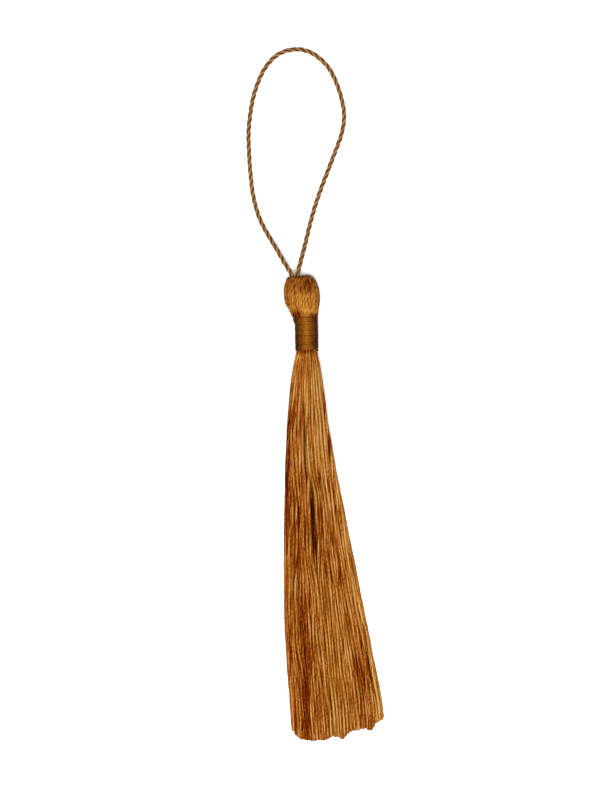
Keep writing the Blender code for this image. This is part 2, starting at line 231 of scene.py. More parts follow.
RANK_WANDER = 0.80              # of the same waves up and down, as a share

# how the yarns settle: each round's moves are in mm, or shares of the way
SETTLE_STATIONS = 64            # cross-sections along the yarns
SETTLE_ROUNDS = 60
SETTLE_SIZES = (0.68, 0.72, 0.92, 1.05)         # room that a yarn takes, by layer, to its crown's
SETTLE_PUSH = 0.32              # out of an overlap
SETTLE_HOME = 0.05              # back to the yarn's own line
SETTLE_SINK = 0.006             # down
SETTLE_PART = 0.70              # out of a slot
SETTLE_EASE = 0.35              # towards its neighbours along the yarn
SETTLE_FLOOR = 0.95             # least height of a yarn's middle, to its radius
SETTLE_EASINGS = 3              # of the kinks that are left, once it is all done
SETTLE_OUTSET = 0.07            # mm that crowns may stand out of the CAD outline
SLOT_DEPTHS = (0.38, 0.60)      # heights, as shares of the skirt's, over which slots fade in
SLOT_ENDS = (0.3, 0.7)          # shares of its length between which a slot is fully open
SLOTS = (                       # where top yarns stand apart: y of both ends, x of both, half width
    (18.5, 5.5, -5.75, -5.35, 0.12),
    (5.5, -13.0, -4.30, -3.42, 0.42),
    (2.5, -6.5, -6.75, -6.65, 0.10),
    (-12.0, -30.0, -6.95, -6.35, 0.22),
    (-24.0, -41.0, -5.60, -4.85, 0.25),
    (-22.0, -34.0, 5.80, 7.20, 0.16),
)

# the yarns' tones
OWN_TONE = (-0.09, 0.08)        # the middle one, and how much they differ
PLACE_TONE = 0.03               # added at the fan's right edge, and taken off at its left
CUT_TONE = 0.07                 # added at the cut ends
CUT_TONE_SHARE = 0.90           # of a yarn's length, where that starts
ROOT_SHADE = -0.25               # painted shade, added where the yarns come out from under the binding
ROOT_SHADE_YS = (29.2, 30.3)     # over which it comes in
BAND_ENDS = (0.2, 0.8)          # shares of its length between which a band is at its full tone
BANDS_OF_TONE_AND_SHADE = (                       # partly painted shade, along both flanks, in a slot and as a shadow along the right edge, and partly bands of darker or lighter yarns: y of both ends, x of both ends, half width, and the tone added
    (32.0, -16.0, -8.15, -9.40, 0.55, -0.22),
    (28.0, 12.0, -6.05, -5.60, 0.35, -0.20),
    (2.5, -10.5, -4.12, -3.55, 0.50, -0.60),
    (1.0, -11.0, -0.60, -0.30, 0.60, -0.16),
    (26.0, 15.0, -7.35, -7.35, 0.20, -0.18),
    (-1.0, -13.0, -7.60, -7.20, 1.30, -0.13),
    (-14.0, -52.0, -6.10, -4.90, 0.80, -0.24),
    (30.5, 23.0, -6.95, -7.75, 0.55, 0.22),
    (29.0, 10.0, -3.90, -1.80, 1.20, 0.11),
    (27.0, 6.0, -2.75, 0.40, 0.42, -0.36),
    (28.0, 5.0, -5.40, -3.80, 4.00, 0.18),
    (12.0, -13.0, -2.10, 0.60, 1.40, 0.08),
    (-9.0, -34.0, -3.60, -2.30, 0.80, 0.07),
    (-16.0, -40.0, -7.60, -7.20, 0.40, 0.07),
    (-12.0, -50.0, 0.40, 1.00, 1.80, 0.12),
    (-22.0, -42.0, 4.80, 6.50, 1.10, -0.16),
    (-20.0, -38.0, 6.10, 7.60, 0.40, -0.15),
)

# ---------------------------------------------------------------- painted shade between strands
CROWD_CELL = np.array((0.15, 0.50, 0.15))       # mm, cells of the grid that strands are counted in
CROWD_SPREAD = (0.26, 0.60, 0.26)               # mm, how far round itself a strand counts
CROWD_TAIL = 2.5                                # of those spreads, past which it doesn't count
CROWD_MARGIN = 8                                # cells left free round the strands
CROWD_REACH = 0.26                              # mm outside a strand where the crowding is looked up
CROWD_RANGE = (0.70, 1.60)                      # crowding over which the painted shade deepens the tone
CROWD_SHADE = 1.00                               # the most by which the painted shade deepens the tone
DEEP_WARMTH = 0.5               # how much redder a strand of a deep tone is, painted shade included
STRAND_APART = 100.0            # mm of noise from one strand to the next, so that no two are alike

# ---------------------------------------------------------------- the cord, as in part.py
CORD_DIAMETER = 0.90
CORD_PITCHES = (4.5, 4.5)       # mm for one turn of its three plies
CURVE_STEPS = 16
LOOP_ROUTE = (
    (-8.22, 45.20, 3.05),
    (-9.42, 47.16, 2.80),
    (-10.60, 49.24, 2.20),
    (-11.70, 51.10, 1.55),
    (-13.42, 54.05, 0.85),
    (-14.72, 57.08, 0.52),
    (-15.58, 60.59, 0.47),
    (-16.02, 64.28, 0.47),
    (-16.30, 68.13, 0.47),
    (-16.40, 73.05, 0.47),
    (-15.74, 78.22, 0.47),
    (-14.69, 81.91, 0.47),
    (-13.36, 84.75, 0.47),
    (-11.59, 86.92, 0.47),
    (-9.94, 87.98, 0.47),
    (-8.00, 88.52, 0.47),
    (-5.99, 88.48, 0.47),
    (-3.61, 87.53, 0.47),
    (-1.10, 85.22, 0.47),
    (0.60, 82.00, 0.47),
    (1.70, 78.40, 0.47),
    (2.05, 75.50, 0.47),
    (1.55, 72.20, 0.47),
    (0.10, 68.20, 0.47),
    (-1.10, 65.04, 0.47),
    (-2.35, 61.80, 0.47),
    (-3.60, 58.10, 0.48),
    (-4.62, 54.47, 0.72),
    (-5.30, 51.60, 1.35),
    (-5.95, 49.00, 2.15),
    (-6.50, 46.90, 2.80),
    (-6.86, 45.46, 3.02),
)

# the cord, finer than there
CORD_INTO_HEAD = ((-7.75, 43.7, 2.95), (-7.05, 43.9, 2.95))     # its two ends, inside the head
CORD_STEP = 0.16                # mm between two rings
CORD_TONE = -0.46
THREE_PLY = (0.60, 0.78, 0.91, 0.98, 1.0, 0.98, 0.91, 0.78) * 3     # radius round its section


# ---------------------------------------------------------------- curves and tables
def column(rows, names, name):
    return np.array([row[names.index(name)] for row in rows])


def table_at(rows, names, name, y):
    """A column's value at y, from a table whose y falls from row to row."""
    return np.interp(-np.asarray(y), -column(rows, names, "y"), column(rows, names, name))


def smoothstep(low, high, value):
    share = np.clip((value - low) / (high - low), 0.0, 1.0)
    return share * share * (3.0 - 2.0 * share)


def plateau(inner, share):
    """1 between two shares of a length, fading to 0 at its ends."""
    return smoothstep(0.0, inner[0], share) * (1.0 - smoothstep(inner[1], 1.0, share))


def unit(vectors):
    return vectors / np.linalg.norm(vectors, axis=-1, keepdims=True)


def smoothed(paths, count):
    """Each path resampled to count points, along a Catmull-Rom curve through its own points."""
    before = 2.0 * paths[:, :1] - paths[:, 1:2]
    after = 2.0 * paths[:, -1:] - paths[:, -2:-1]
    held = np.concatenate([before, paths, after], axis=1)
    places = np.linspace(0.0, paths.shape[1] - 1.0, count)
    first = np.minimum(places.astype(int), paths.shape[1] - 2)
    t = (places - first)[None, :, None]
    a, b, c, d = (held[:, first + i] for i in range(4))
    return 0.5 * (
        2.0 * b + (c - a) * t + (2.0 * a - 5.0 * b + 4.0 * c - d) * t ** 2
        + (3.0 * b - a - 3.0 * c + d) * t ** 3
    )


def even_steps(points, step):
    """Points a step apart along one line of points."""
    lengths = np.concatenate([[0.0], np.cumsum(np.linalg.norm(np.diff(points, axis=0), axis=1))])
    stations = np.linspace(0.0, lengths[-1], round(lengths[-1] / step) + 1)
    return np.column_stack([np.interp(stations, lengths, points[:, axis]) for axis in range(3)])


def lengths_along(paths):
    """Length from the start of each path to each of its points."""
    steps = np.linalg.norm(np.diff(paths, axis=1), axis=2)
    return np.concatenate([np.zeros((len(paths), 1)), np.cumsum(steps, axis=1)], axis=1)


# ---------------------------------------------------------------- how crowded the strands are
class Crowd:
    """How much of the room round a point is taken by strands: 1 on the axis of one that lies alone."""

    def __init__(self, bundles):
        places, weights = [], []
        for bundle in bundles:
            paths, radii = bundle["paths"], bundle["radii"]
            steps = np.gradient(lengths_along(paths), axis=1)
            places.append(paths.reshape(-1, 3))
            weights.append((steps * (radii / YARN_RADIUS) ** 2).ravel())
        places, weights = np.concatenate(places), np.concatenate(weights)
        self.low = places.min(axis=0) - CROWD_MARGIN * CROWD_CELL
        cells = np.ceil((places.max(axis=0) - self.low) / CROWD_CELL).astype(int) + CROWD_MARGIN
        grid = np.zeros(cells)
        index = np.round((places - self.low) / CROWD_CELL).astype(int)
        np.add.at(grid, tuple(index.T), weights / np.prod(CROWD_CELL))
        for axis, (cell, spread) in enumerate(zip(CROWD_CELL, CROWD_SPREAD)):
            reach = int(math.ceil(CROWD_TAIL * spread / cell))
            shifts = np.arange(-reach, reach + 1)
            share = np.exp(-0.5 * (shifts * cell / spread) ** 2)
            share /= share.sum()
            grid = sum(part * np.roll(grid, shift, axis) for part, shift in zip(share, shifts))
        self.grid = grid * 2.0 * math.pi * CROWD_SPREAD[0] * CROWD_SPREAD[2]

    def at(self, points):
        """Trilinear value at each of the points, (..., 3)."""
        place = (points - self.low) / CROWD_CELL
        place = np.clip(place, 0.0, np.array(self.grid.shape) - 1.001)      # inside the last cell
        first = place.astype(int)
        part = place - first
        total = 0.0
        for corner in np.ndindex(2, 2, 2):
            weight = np.prod(np.where(corner, part, 1.0 - part), axis=-1)
            total = total + weight * self.grid[tuple(np.moveaxis(first + corner, -1, 0))]
        return total


# ---------------------------------------------------------------- strands as meshes
def make_strands(name, paths, radii, profile, pitches, reference, tones, material, crowd=None):
    """One mesh with a closed, twisted tube round each path.

    paths (strands, rings, 3), radii (strands, rings) to a ply's crown, profile the radius round a
    section as a share of that, pitches the least and most length of a right-handed turn, reference
    a direction that no path runs along, and tones (strands, rings or 1). Where strands crowd each
    other their tone is deepened, a painted shade.
    """
    strands, rings = radii.shape
    sides = len(profile)
    along = unit(np.gradient(paths, axis=1))
    right = unit(np.cross(along, reference))
    over = np.cross(right, along)
    run = lengths_along(paths)
    start = RNG.random((strands, 1)) * 2.0 * math.pi
    turned = start - 2.0 * math.pi * run / RNG.uniform(*pitches, (strands, 1))
    angle = turned[..., None] + 2.0 * math.pi * np.arange(sides) / sides
    spokes = np.cos(angle)[..., None] * right[:, :, None] + np.sin(angle)[..., None] * over[:, :, None]
    reach = radii[..., None] * np.array(profile)
    points = paths[:, :, None] + reach[..., None] * spokes

    corner = np.arange(strands * rings * sides).reshape(strands, rings, sides)
    near, far = corner[:, :-1], corner[:, 1:]
    quads = np.stack([near, far, np.roll(far, -1, axis=2), np.roll(near, -1, axis=2)], axis=-1)
    caps = np.concatenate([corner[:, 0], corner[:, -1, ::-1]])

    # each strand has a strip of the map to itself, so that its colours can be baked
    strip = np.arange(strands)[:, None, None]
    height = (run / run.max())[..., None]
    low = np.broadcast_to((strip + np.arange(sides) / sides) / strands, points.shape[:3])
    high = low + 1.0 / (sides * strands)
    tall = np.broadcast_to(height, points.shape[:3])
    quad_map = np.stack([
        np.stack([low[:, :-1], tall[:, :-1]], axis=-1),
        np.stack([low[:, 1:], tall[:, 1:]], axis=-1),
        np.stack([high[:, 1:], tall[:, 1:]], axis=-1),
        np.stack([high[:, :-1], tall[:, :-1]], axis=-1),
    ], axis=3)
    ends = np.stack([low, tall], axis=-1)
    cap_map = np.concatenate([ends[:, 0], ends[:, -1, ::-1]])

    mesh = bpy.data.meshes.new(name)
    mesh.vertices.add(corner.size)
    mesh.vertices.foreach_set("co", (points * MM).astype(np.float32).ravel())
    loops = np.concatenate([quads.ravel(), caps.ravel()])
    mesh.loops.add(len(loops))
    mesh.loops.foreach_set("vertex_index", loops.astype(np.int32))
    quad_count = quads.size // 4
    starts = np.concatenate([
        4 * np.arange(quad_count),
        4 * quad_count + sides * np.arange(len(caps)),
    ])
    mesh.polygons.add(len(starts))
    mesh.polygons.foreach_set("loop_start", starts.astype(np.int32))
    mesh.update(calc_edges=True)
    layer = mesh.uv_layers.new(name="OFBake")
    uvs = np.concatenate([quad_map.reshape(-1, 2), cap_map.reshape(-1, 2)])
    layer.uv.foreach_set("vector", uvs.astype(np.float32).ravel())

    whole = np.ones(points.shape[:3])
    crown = (np.array(profile) - min(profile)) / (max(profile) - min(profile) or 1.0)
    fibre = np.stack([
        np.cos(angle - turned[..., None]),
        np.sin(angle - turned[..., None]),
        (run + STRAND_APART * np.arange(strands)[:, None])[..., None] * whole,
    ], axis=-1)
    tone = tones[..., None] * whole
    if crowd:
        # painted shade: the tone deepens where strands crowd round a point
        near_by = crowd.at(points + CROWD_REACH * spokes)
        tone = tone - CROWD_SHADE * smoothstep(*CROWD_RANGE, near_by)
    put(mesh, "tone", "FLOAT", "value", tone)
    # deep tones, painted shade among them, are made redder
    warmth = RNG.random((strands, 1)) + DEEP_WARMTH * np.minimum(tones, 0.0)
    put(mesh, "warmth", "FLOAT", "value", warmth[..., None] * whole)
    put(mesh, "crown", "FLOAT", "value", crown * whole)
    put(mesh, "fibre", "FLOAT_VECTOR", "vector", fibre)
    return show(name, mesh, material)


def put(mesh, name, kind, field, values):
    """A named value at each vertex, for the material to read."""
    held = mesh.attributes.new(name, kind, "POINT")
    held.data.foreach_set(field, values.astype(np.float32).ravel())


def show(name, mesh, material):
    mesh.shade_smooth()
    mesh.materials.append(material)
    piece = bpy.data.objects.new(name, mesh)
    bpy.context.scene.collection.objects.link(piece)
    return piece


def stand_for(node, piece):
    """Has a piece stand for a CAD node: the node is hidden, and the piece rides on the body root."""
    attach(piece, "root")
    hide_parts(node)


def make_core(name, rings, material):
    """A closed tube through rings of points, (rings, sides, 3), for the dark inside of a piece, painted
    shade where it shows between strands.
    """
    count, sides = rings.shape[:2]
    corner = np.arange(count * sides).reshape(count, sides)
    faces = []
    for near, far in zip(corner, corner[1:]):
        for i in range(sides):
            faces.append((near[i - 1], near[i], far[i], far[i - 1]))
    faces.append(tuple(corner[0][::-1]))
    faces.append(tuple(corner[-1]))
    mesh = bpy.data.meshes.new(name)
    mesh.from_pydata((rings * MM).reshape(-1, 3).tolist(), [], [[int(i) for i in f] for f in faces])
    return show(name, mesh, material)


# ---------------------------------------------------------------- materials
DARKEST = 0.3                   # of the deep colour, where no light gets in
DEEP_AT = 0.28                  # places on a silk's ramp from the darkest, at 0, to the bright, at 1
RICH_AT = 0.62
FILAMENT_DETAIL = 3.0
GRAIN_DETAIL = 1.0
GRAIN_SCALE = (2.0, 2.0, 2.2)   # of the fine grain that its twist gives a yarn, the last for each mm
HUES = (0.494, 0.507)           # turns of the hue, 0.5 for none, from the redder yarns to the others
SILK_SPECULAR = 0.015
SILK_SPECULAR_TINT = (0.75, 0.45, 0.22, 1.0)
BUMP_STRENGTH = 0.5
BUMP_DISTANCE = 0.03            # mm
CORE_STREAKS = (4000.0, 300.0, 4000.0)  # a metre, in X, Y and Z
CORE_DETAIL = 2.0
CORE_ROUGHNESS = 0.8
CORE_DARKEST = 0.4              # of the core's colour
CORE_RANGE = (0.3, 0.7)         # of the noise, from the darkest to the core's colour


def new_material(name):
    """A material, its nodes and links, and its shader."""
    material = bpy.data.materials.new(name)
    material.use_nodes = True
    nodes, links = material.node_tree.nodes, material.node_tree.links
    return material, nodes, links, nodes["Principled BSDF"]


def attribute(nodes, name):
    """A value that the mesh holds at each vertex."""
    node = nodes.new("ShaderNodeAttribute")
    node.attribute_name = name
    return node


def noise(nodes, links, place, scales, detail):
    """Noise at a place that is scaled by an amount of its own along each axis."""
    scaled = nodes.new("ShaderNodeVectorMath")
    scaled.operation = "MULTIPLY"
    scaled.inputs[1].default_value = scales
    links.new(place, scaled.inputs[0])
    node = nodes.new("ShaderNodeTexNoise")
    node.inputs["Scale"].default_value = 1.0
    node.inputs["Detail"].default_value = detail
    links.new(scaled.outputs["Vector"], node.inputs["Vector"])
    return node.outputs["Fac"]


def spread_over(nodes, links, value, low, high, clamp):
    """A value from 0 to 1 as one from low to high."""
    node = nodes.new("ShaderNodeMapRange")
    node.clamp = clamp
    node.inputs["To Min"].default_value = low
    node.inputs["To Max"].default_value = high
    links.new(value, node.inputs["Value"])
    return node.outputs["Result"]


def added(nodes, links, first, second):
    node = nodes.new("ShaderNodeMath")
    node.operation = "ADD"
    links.new(first, node.inputs[0])
    links.new(second, node.inputs[1])
    return node.outputs["Value"]


def silk(name, deep, rich, bright, roughness, gloss, streaks, contrast, grain, groove_shade):
    """Dyed silk: a colour for each yarn's tone, darker between plies as a painted shade, with fine
    filaments.

    streaks is the scale of the filaments round a yarn, twice, and along it for each mm, contrast
    and grain how far filaments and fine grain change the tone, and groove_shade how deep the painted
    shade between plies is.
    """
    material, nodes, links, shader = new_material(name)
    shader.inputs["Roughness"].default_value = roughness
    shader.inputs["Metallic"].default_value = gloss
    shader.inputs["Specular IOR Level"].default_value = SILK_SPECULAR
    shader.inputs["Specular Tint"].default_value = SILK_SPECULAR_TINT

    fibre = attribute(nodes, "fibre").outputs["Vector"]
    filaments = noise(nodes, links, fibre, streaks, FILAMENT_DETAIL)
    specks = noise(nodes, links, fibre, GRAIN_SCALE, GRAIN_DETAIL)
    grained = spread_over(nodes, links, specks, -grain / 2.0, grain / 2.0, False)
    own = added(nodes, links, grained, attribute(nodes, "tone").outputs["Fac"])
    uneven = spread_over(nodes, links, filaments, 0.5 - contrast / 2.0, 0.5 + contrast / 2.0, False)
    mixed = added(nodes, links, uneven, own)
    # painted shade between plies: the tone is raised on a ply's crown, so its grooves are deeper
    raised = nodes.new("ShaderNodeMath")
    raised.operation = "MULTIPLY_ADD"
    raised.inputs[1].default_value = groove_shade
    links.new(attribute(nodes, "crown").outputs["Fac"], raised.inputs[0])
    links.new(mixed, raised.inputs[2])
    ramp = nodes.new("ShaderNodeValToRGB")
    stops = ramp.color_ramp.elements
    stops[0].position = 0.0
    stops[0].color = (*(DARKEST * channel for channel in deep), 1.0)
    stops[1].position = 1.0
    stops[1].color = (*bright, 1.0)
    stops.new(DEEP_AT).color = (*deep, 1.0)
    stops.new(RICH_AT).color = (*rich, 1.0)
    links.new(raised.outputs["Value"], ramp.inputs["Fac"])

    # some yarns took the dye a little redder than others, and deep tones, painted shade among them, are
    # redder
    warmth = attribute(nodes, "warmth").outputs["Fac"]
    hue = nodes.new("ShaderNodeHueSaturation")
    links.new(spread_over(nodes, links, warmth, *HUES, True), hue.inputs["Hue"])
    links.new(ramp.outputs["Color"], hue.inputs["Color"])
    links.new(hue.outputs["Color"], shader.inputs["Base Color"])

    bump = nodes.new("ShaderNodeBump")
    bump.inputs["Strength"].default_value = BUMP_STRENGTH
    bump.inputs["Distance"].default_value = BUMP_DISTANCE * MM
    links.new(filaments, bump.inputs["Height"])
    links.new(bump.outputs["Normal"], shader.inputs["Normal"])
    return material


def core_silk(name, colour):
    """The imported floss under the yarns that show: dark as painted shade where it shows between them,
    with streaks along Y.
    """
    material, nodes, links, shader = new_material(name)
    shader.inputs["Roughness"].default_value = CORE_ROUGHNESS
    shader.inputs["Specular IOR Level"].default_value = 0.0
    place = nodes.new("ShaderNodeTexCoord").outputs["Object"]
    ramp = nodes.new("ShaderNodeValToRGB")
    stops = ramp.color_ramp.elements
    stops[0].position, stops[1].position = CORE_RANGE
    stops[0].color = (*(CORE_DARKEST * channel for channel in colour), 1.0)
    stops[1].color = (*colour, 1.0)
    links.new(noise(nodes, links, place, CORE_STREAKS, CORE_DETAIL), ramp.inputs["Fac"])
    links.new(ramp.outputs["Color"], shader.inputs["Base Color"])
    return material


def plain(name, colour, roughness):
    material, _, _, shader = new_material(name)
    shader.inputs["Base Color"].default_value = (*colour, 1.0)
    shader.inputs["Roughness"].default_value = roughness
    return material


FLOSS = silk(
    "floss_silk", deep=(0.108, 0.012, 0.0002), rich=(0.258, 0.080, 0.0050),
    bright=(0.40, 0.208, 0.058), roughness=0.48, gloss=0.15, streaks=(1.8, 1.8, 0.18),
    contrast=1.9, grain=1.0, groove_shade=0.30)
HEAD_FLOSS = silk(
    "head_silk", deep=(0.105, 0.019, 0.0010), rich=(0.255, 0.094, 0.0110),
    bright=(0.40, 0.194, 0.032), roughness=0.48, gloss=0.15, streaks=(1.8, 1.8, 0.14),
    contrast=1.5, grain=0.6, groove_shade=0.24)
CORD = silk(
    "cord_silk", deep=(0.06, 0.020, 0.004), rich=(0.21, 0.097, 0.032),
    bright=(0.36, 0.195, 0.085), roughness=0.55, gloss=0.15, streaks=(9.0, 9.0, 1.0),
    contrast=1.0, grain=0.3, groove_shade=0.70)
THREAD = silk(
    "binding_silk", deep=(0.030, 0.003, 0.0002), rich=(0.178, 0.051, 0.005),
    bright=(0.37, 0.136, 0.021), roughness=0.45, gloss=0.05, streaks=(3.0, 3.0, 0.2),
    contrast=1.0, grain=0.2, groove_shade=0.0)
CORE = core_silk("shade_floss_core", (0.08, 0.014, 0.001))


# ---------------------------------------------------------------- camera, light and floor
def make_camera():
    data = bpy.data.cameras.new("camera")
    data.sensor_width = SENSOR
    data.lens = SENSOR * (CAMERA_HEIGHT - CAMERA_AIM_Z) / (max(PHOTO_SIZE) * PHOTO_PIXEL)
    camera = bpy.data.objects.new("camera", data)
    x = (PHOTO_SIZE[0] / 2.0 - PHOTO_ORIGIN[0]) * PHOTO_PIXEL
    y = (PHOTO_ORIGIN[1] - PHOTO_SIZE[1] / 2.0) * PHOTO_PIXEL
    camera.location = (x * MM, y * MM, CAMERA_HEIGHT * MM)
    bpy.context.scene.collection.objects.link(camera)
    bpy.context.scene.camera = camera


def make_lamp(name, place, aim, size, watts):
    data = bpy.data.lights.new(name, "AREA")
    data.shape = "DISK"
    data.size = size * MM
    data.energy = watts
    lamp = bpy.data.objects.new(name, data)
    lamp.location = [c * MM for c in place]
    away = np.array(place) - np.array(aim)
    lamp.rotation_euler = (
        math.atan2(math.hypot(away[0], away[1]), away[2]),
        0.0,
        math.atan2(away[0], -away[1]),
    )
    bpy.context.scene.collection.objects.link(lamp)


def make_stage():
    half = FLOOR_HALF * MM
    mesh = bpy.data.meshes.new("floor")
    corners = [(-half, -half, 0), (half, -half, 0), (half, half, 0), (-half, half, 0)]
    mesh.from_pydata(corners, [], [(0, 1, 2, 3)])
    mesh.materials.append(plain("floor_paper", FLOOR_COLOUR, FLOOR_ROUGHNESS))
    floor = bpy.data.objects.new("floor", mesh)
    bpy.context.scene.collection.objects.link(floor)

    world = bpy.data.worlds.new("studio")
    world.use_nodes = True
    background = world.node_tree.nodes["Background"]
    background.inputs["Color"].default_value = (1.0, 1.0, 1.0, 1.0)
    background.inputs["Strength"].default_value = SKY_STRENGTH
    bpy.context.scene.world = world
    bpy.context.scene.view_settings.view_transform = "Standard"
    make_lamp("key", KEY_PLACE, KEY_AIM, KEY_SIZE, KEY_WATTS)


make_camera()
make_stage()


# ---------------------------------------------------------------- the skirt
def disc_point(u, v):
    """Map points of the square -1..1 onto the unit disc."""
    return u * np.sqrt(1.0 - v * v / 2.0), v * np.sqrt(1.0 - u * u / 2.0)


def yarn_table():
    """Row and column in the bundle, layer, and place across the fan (-1 to 1), of every yarn."""
    yarns = []
    for row in range(GRID):
        layer = row // ROWS_PER_LAYER
        rows_here = min(ROWS_PER_LAYER, GRID - layer * ROWS_PER_LAYER)
        in_layer = row - layer * ROWS_PER_LAYER
        upper_half = row > GRID // 2
        for col in range(GRID):
            left_half = col < GRID // 2
            outward = in_layer if left_half == upper_half else rows_here - 1 - in_layer
            order = col * rows_here + outward
            place = order / (GRID * rows_here - 1) * 2.0 - 1.0
            yarns.append((row, col, layer, place))
    return (np.array(values) for values in zip(*yarns))


def parting_shift(x, y, depth):
    """How far the partings push yarns aside, least in the lowest layer, whose depth is 0."""
    shift = 0.0
    for start_y, end_y, start_x, end_x, opening, reach in PARTINGS:
        along = (start_y - y) / (start_y - end_y)
        fade = smoothstep(*PARTING_FADE_IN, along) * (1.0 - smoothstep(*PARTING_FADE_OUT, along))
        from_line = (x - (start_x + (end_x - start_x) * along)) / reach
        shift = shift + opening * fade * from_line * np.exp(-0.5 * from_line * from_line)
    return shift * (PARTING_AT_FLOOR + (1.0 - PARTING_AT_FLOOR) * depth)


def sway(x, y):
    return sum(high * np.sin(along * y + across * x + phase) for high, along, across, phase in SWAYS)


def wander(count, run):
    """Waves of each yarn's own, (count, len(run))."""
    total = 0.0
    for high, wavelength in WANDERS:
        stretch = RNG.uniform(*WANDER_STRETCHES, (count, 1))
        phase = RNG.uniform(0.0, 2.0 * math.pi, (count, 1))
        total = total + high * np.sin(2.0 * math.pi * run / (wavelength * stretch) + phase)
    return total


def yarn_radii(shares):
    swell = smoothstep(*YARN_GRIP_SHARES, shares)
    return YARN_ROOT_RADIUS + (YARN_RADIUS - YARN_ROOT_RADIUS) * swell


def bundle_place(row, col):
    """Where yarns are in the round bundle at the neck, across and up, each -1 to 1."""
    return disc_point(2.0 * (col + 0.5) / GRID - 1.0, 2.0 * (row + 0.5) / GRID - 1.0)


def yarn_lines(row, col, layer, place, shares):
    """Middle lines of the yarns, (yarns, shares, 3), on the CAD model's fan, partings and hem."""
    across, up = bundle_place(row, col)
    across, up, layer_here = across[:, None], up[:, None], layer[:, None]
    spread = (place * np.array(LAYER_SPREADS)[layer])[:, None]
    left_end, right_end = SKIRT_SECTIONS[-1][1:3]
    end_x = (left_end + right_end) / 2.0 + spread * (right_end - left_end) / 2.0
    hem = np.interp(end_x, *zip(*HEM))
    hem = hem + HEM_RAGGED * (np.arange(len(row))[:, None] * GOLDEN_STEP % 1.0) ** 2
    y = ROOT_Y + shares * (hem - ROOT_Y)

    left = table_at(SKIRT_SECTIONS, SKIRT_COLUMNS, "left_x", y)
    right = table_at(SKIRT_SECTIONS, SKIRT_COLUMNS, "right_x", y)
    height = table_at(SKIRT_SECTIONS, SKIRT_COLUMNS, "height", y)
    fanned = smoothstep(0.0, SPREAD_SHARE, shares)
    settled = smoothstep(*SETTLED_SHARES, shares)
    half_width = (right - left) / 2.0 - EDGE_INSET
    x = (left + right) / 2.0 + ((1.0 - fanned) * ROOT_SPREAD * across + fanned * spread) * half_width

    lowest = disc_point(0.0, 1.0 / GRID - 1.0)[1]
    root_z = NECK_SKIRT_END[2] + ROOT_RADIUS * up
    bundle_z = np.maximum((up - lowest) / 2.0 * height, 0.0)
    loose_z = (1.0 - settled) * bundle_z + settled * layer_here * LAYER_PITCH
    landed = smoothstep(0.0, FLOOR_SHARE, shares)
    z = (1.0 - landed) * root_z + landed * (loose_z + yarn_radii(shares))

    free = smoothstep(*FREE_SHARES, shares)
    depth = layer_here / (len(LAYER_SPREADS) - 1)
    loose = free * np.array(WANDER_SHARES)[layer_here]
    x = x + free * (sway(x, y) + parting_shift(x, y, depth)) + loose * wander(len(row), ROOT_Y - y)
    z = z + loose * RANK_WANDER * wander(len(row), ROOT_Y - y)
    return np.stack([x, y, z], axis=-1)


def parted(flat, y, radii):
    """How far yarns in the upper part of the bundle are from their own side of a slot."""
    height = table_at(SKIRT_SECTIONS, SKIRT_COLUMNS, "height", y)
    upper = smoothstep(*SLOT_DEPTHS, flat[..., 1] / height)
    push = 0.0
    for start_y, end_y, start_x, end_x, half_width in SLOTS:
        along = (start_y - y) / (start_y - end_y)
        ends = plateau(SLOT_ENDS, along)
        from_line = flat[..., 0] - (start_x + (end_x - start_x) * along)
        middle = np.abs(along - 0.5).argmin(axis=0)
        side = np.sign(from_line[middle, np.arange(len(middle))])
        push = push + side * np.maximum(half_width + radii - side * from_line, 0.0) * ends * upper
    return push


def settle(lines, radii, layer):
    """Press yarns apart where they overlap and down onto the surface, a cross-section at a time."""
    inset = (radii - SETTLE_OUTSET)[:, None]
    y = lines[..., 1].T
    left = table_at(SKIRT_SECTIONS, SKIRT_COLUMNS, "left_x", y) + inset
    right = table_at(SKIRT_SECTIONS, SKIRT_COLUMNS, "right_x", y) - inset
    home = lines[..., [0, 2]].transpose(1, 0, 2)
    flat = home.copy()
    size = np.array(SETTLE_SIZES)[layer]
    need = radii[:, None, None] * (size[:, None] + size)
    itself = np.eye(len(lines), dtype=bool)
    for round_done in range(SETTLE_ROUNDS):
        apart = flat[:, :, None] - flat[:, None]
        gap = np.sqrt((apart * apart).sum(axis=-1)) + 1e-6      # never 0, as it divides
        gap[:, itself] = np.inf
        overlap = np.maximum(need - gap, 0.0) / gap
        flat = flat + SETTLE_PUSH * (overlap[..., None] * apart).sum(axis=2)
        calm = 1.0 - round_done / SETTLE_ROUNDS
        flat += calm * SETTLE_HOME * (home - flat)
        flat[..., 0] += SETTLE_PART * parted(flat, y, radii[:, None])
        flat[..., 1] -= calm * SETTLE_SINK
        eased = (flat[:-2] + flat[2:]) / 2.0
        flat[1:-1] += SETTLE_EASE * calm * (eased - flat[1:-1])
        flat[..., 0] = np.clip(flat[..., 0], left, right)
        flat[..., 1] = np.maximum(flat[..., 1], radii[:, None] * SETTLE_FLOOR)
        flat[0] = home[0]
    for _ in range(SETTLE_EASINGS):
        flat[1:-1] = (flat[:-2] + 2.0 * flat[1:-1] + flat[2:]) / 4.0
    settled = lines.copy()
    settled[..., [0, 2]] = flat.transpose(1, 0, 2)
    return settled


def banded(x, y):
    """What the bands add to the tone at x and y: painted shade in some, darker or lighter yarns in
    others.
    """
    shift = 0.0
    for start_y, end_y, start_x, end_x, half_width, tone in BANDS_OF_TONE_AND_SHADE:
        along = (start_y - y) / (start_y - end_y)
        ends = plateau(BAND_ENDS, along)
        from_line = (x - (start_x + (end_x - start_x) * along)) / half_width
        shift = shift + tone * ends * np.exp(-from_line ** 4)
    return shift


